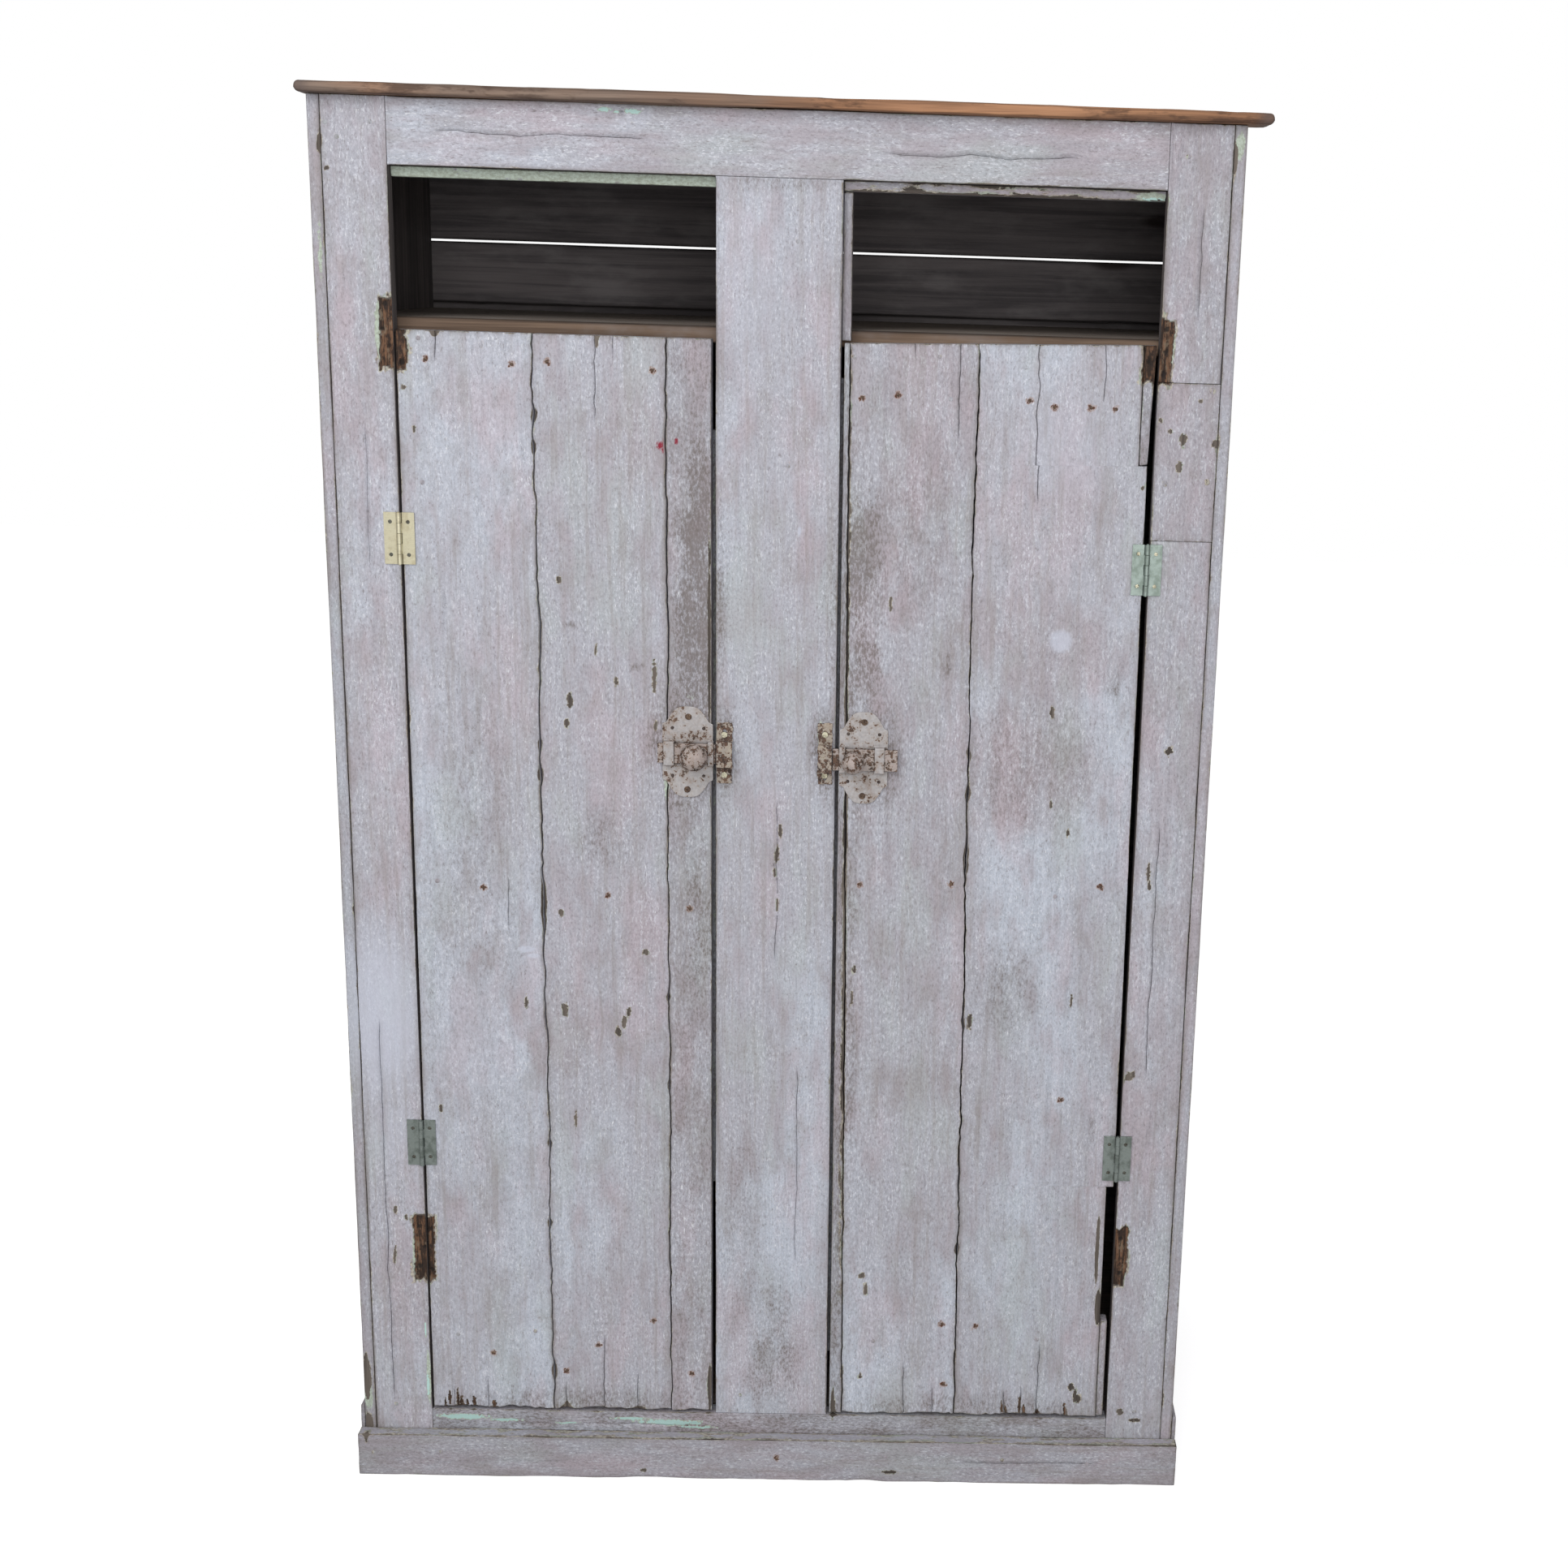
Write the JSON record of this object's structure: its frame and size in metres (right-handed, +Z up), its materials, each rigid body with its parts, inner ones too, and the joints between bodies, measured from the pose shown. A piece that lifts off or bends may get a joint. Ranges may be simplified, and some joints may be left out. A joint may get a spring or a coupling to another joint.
{
  "type": "rabbit hutch",
  "caption": "Tall cupboard-style rabbit hutch of old painted boards: two hinged plank doors with sliding door bolts, ventilation openings above, a shelf inside and a plinth.",
  "frame": {"origin": "bottom centre of the bounding box, on the ground under the plinth", "axes": "+Z up, +Y from the doors to the back, +X to the right as seen from the front; the doors face -Y"},
  "size_m": [1.078, 0.5634, 1.704],
  "materials": {
    "painted_wood": "chalky, worn grey-lilac paint over old mint-green paint",
    "aged_wood": "bare, darkened softwood",
    "top_wood": "bare brown softwood, worn round at its ends",
    "brass": "brushed",
    "zinc_bright": "bright zinc plate",
    "zinc_dull": "dull zinc plate",
    "painted_iron": "painted over, rusting through",
    "rusted_iron": "rusted, with traces of paint"
  },
  "bodies": {
    "cabinet": {"left_side_board_front": "painted_wood", "left_side_board_rear": "painted_wood", "right_side_board_front": "painted_wood", "right_side_board_rear": "painted_wood", "left_stile": "painted_wood", "right_stile": "painted_wood", "right_stile_patch": "painted_wood", "centre_stile": "painted_wood", "top_rail": "painted_wood", "bottom_rail": "painted_wood", "plinth_front": "painted_wood", "plinth_left": "painted_wood", "plinth_right": "painted_wood", "left_head_strip": "painted_wood", "right_head_strip": "painted_wood", "right_jamb_strip": "painted_wood", "left_door_stop": "painted_wood", "right_door_stop": "painted_wood", "back_board_1": "aged_wood", "back_board_2": "aged_wood", "back_board_3": "aged_wood", "back_board_4": "aged_wood", "back_board_5": "aged_wood", "back_board_6": "aged_wood", "back_board_7": "aged_wood", "upper_shelf_front": "aged_wood", "upper_shelf_rear": "aged_wood", "left_shelf_cleat": "aged_wood", "right_shelf_cleat": "aged_wood", "floor_board": "aged_wood", "top_board_front": "top_wood", "top_board_rear": "top_wood", "left_upper_hinge_frame_leaf": "brass", "left_lower_hinge_frame_leaf": "zinc_dull", "right_upper_hinge_frame_leaf": "zinc_bright", "right_lower_hinge_frame_leaf": "zinc_dull", "left_bolt_keeper": "rusted_iron", "right_bolt_keeper": "rusted_iron"},
    "left_door": {"left_door_board_hinge": "painted_wood", "left_door_board_middle": "painted_wood", "left_door_board_latch": "painted_wood", "left_door_ledge_lower": "aged_wood", "left_door_ledge_middle": "aged_wood", "left_door_ledge_upper": "aged_wood", "left_upper_hinge_door_leaf": "brass", "left_lower_hinge_door_leaf": "zinc_dull", "left_bolt_plate": "painted_iron"},
    "right_door": {"right_door_lip": "painted_wood", "right_door_board_latch": "painted_wood", "right_door_board_hinge": "painted_wood", "right_door_edge_upper": "painted_wood", "right_door_edge_lower": "painted_wood", "right_door_ledge_lower": "aged_wood", "right_door_ledge_middle": "aged_wood", "right_door_ledge_upper": "aged_wood", "right_upper_hinge_door_leaf": "zinc_bright", "right_lower_hinge_door_leaf": "zinc_dull", "right_bolt_plate": "painted_iron"},
    "left_bolt": {"left_bolt_bar": "painted_iron"},
    "right_bolt": {"right_bolt_bar": "painted_iron"}
  },
  "joints": [
    {"name": "left_door_hinge", "type": "hinge", "parent": "cabinet", "child": "left_door", "pos_m": [-0.4437, -0.24165, 0.8285], "axis": [0, 0, -1], "range_deg": [0, 175]},
    {"name": "right_door_hinge", "type": "hinge", "parent": "cabinet", "child": "right_door", "pos_m": [0.422, -0.24165, 0.82], "axis": [0, 0, 1], "range_deg": [0, 175]},
    {"name": "left_bolt_slide", "type": "slide", "parent": "left_door", "child": "left_bolt", "axis": [1, 0, 0], "range_m": [-0.019, 0.005]},
    {"name": "right_bolt_slide", "type": "slide", "parent": "right_door", "child": "right_bolt", "axis": [-1, 0, 0], "range_m": [-0.019, 0.005]}
  ]
}
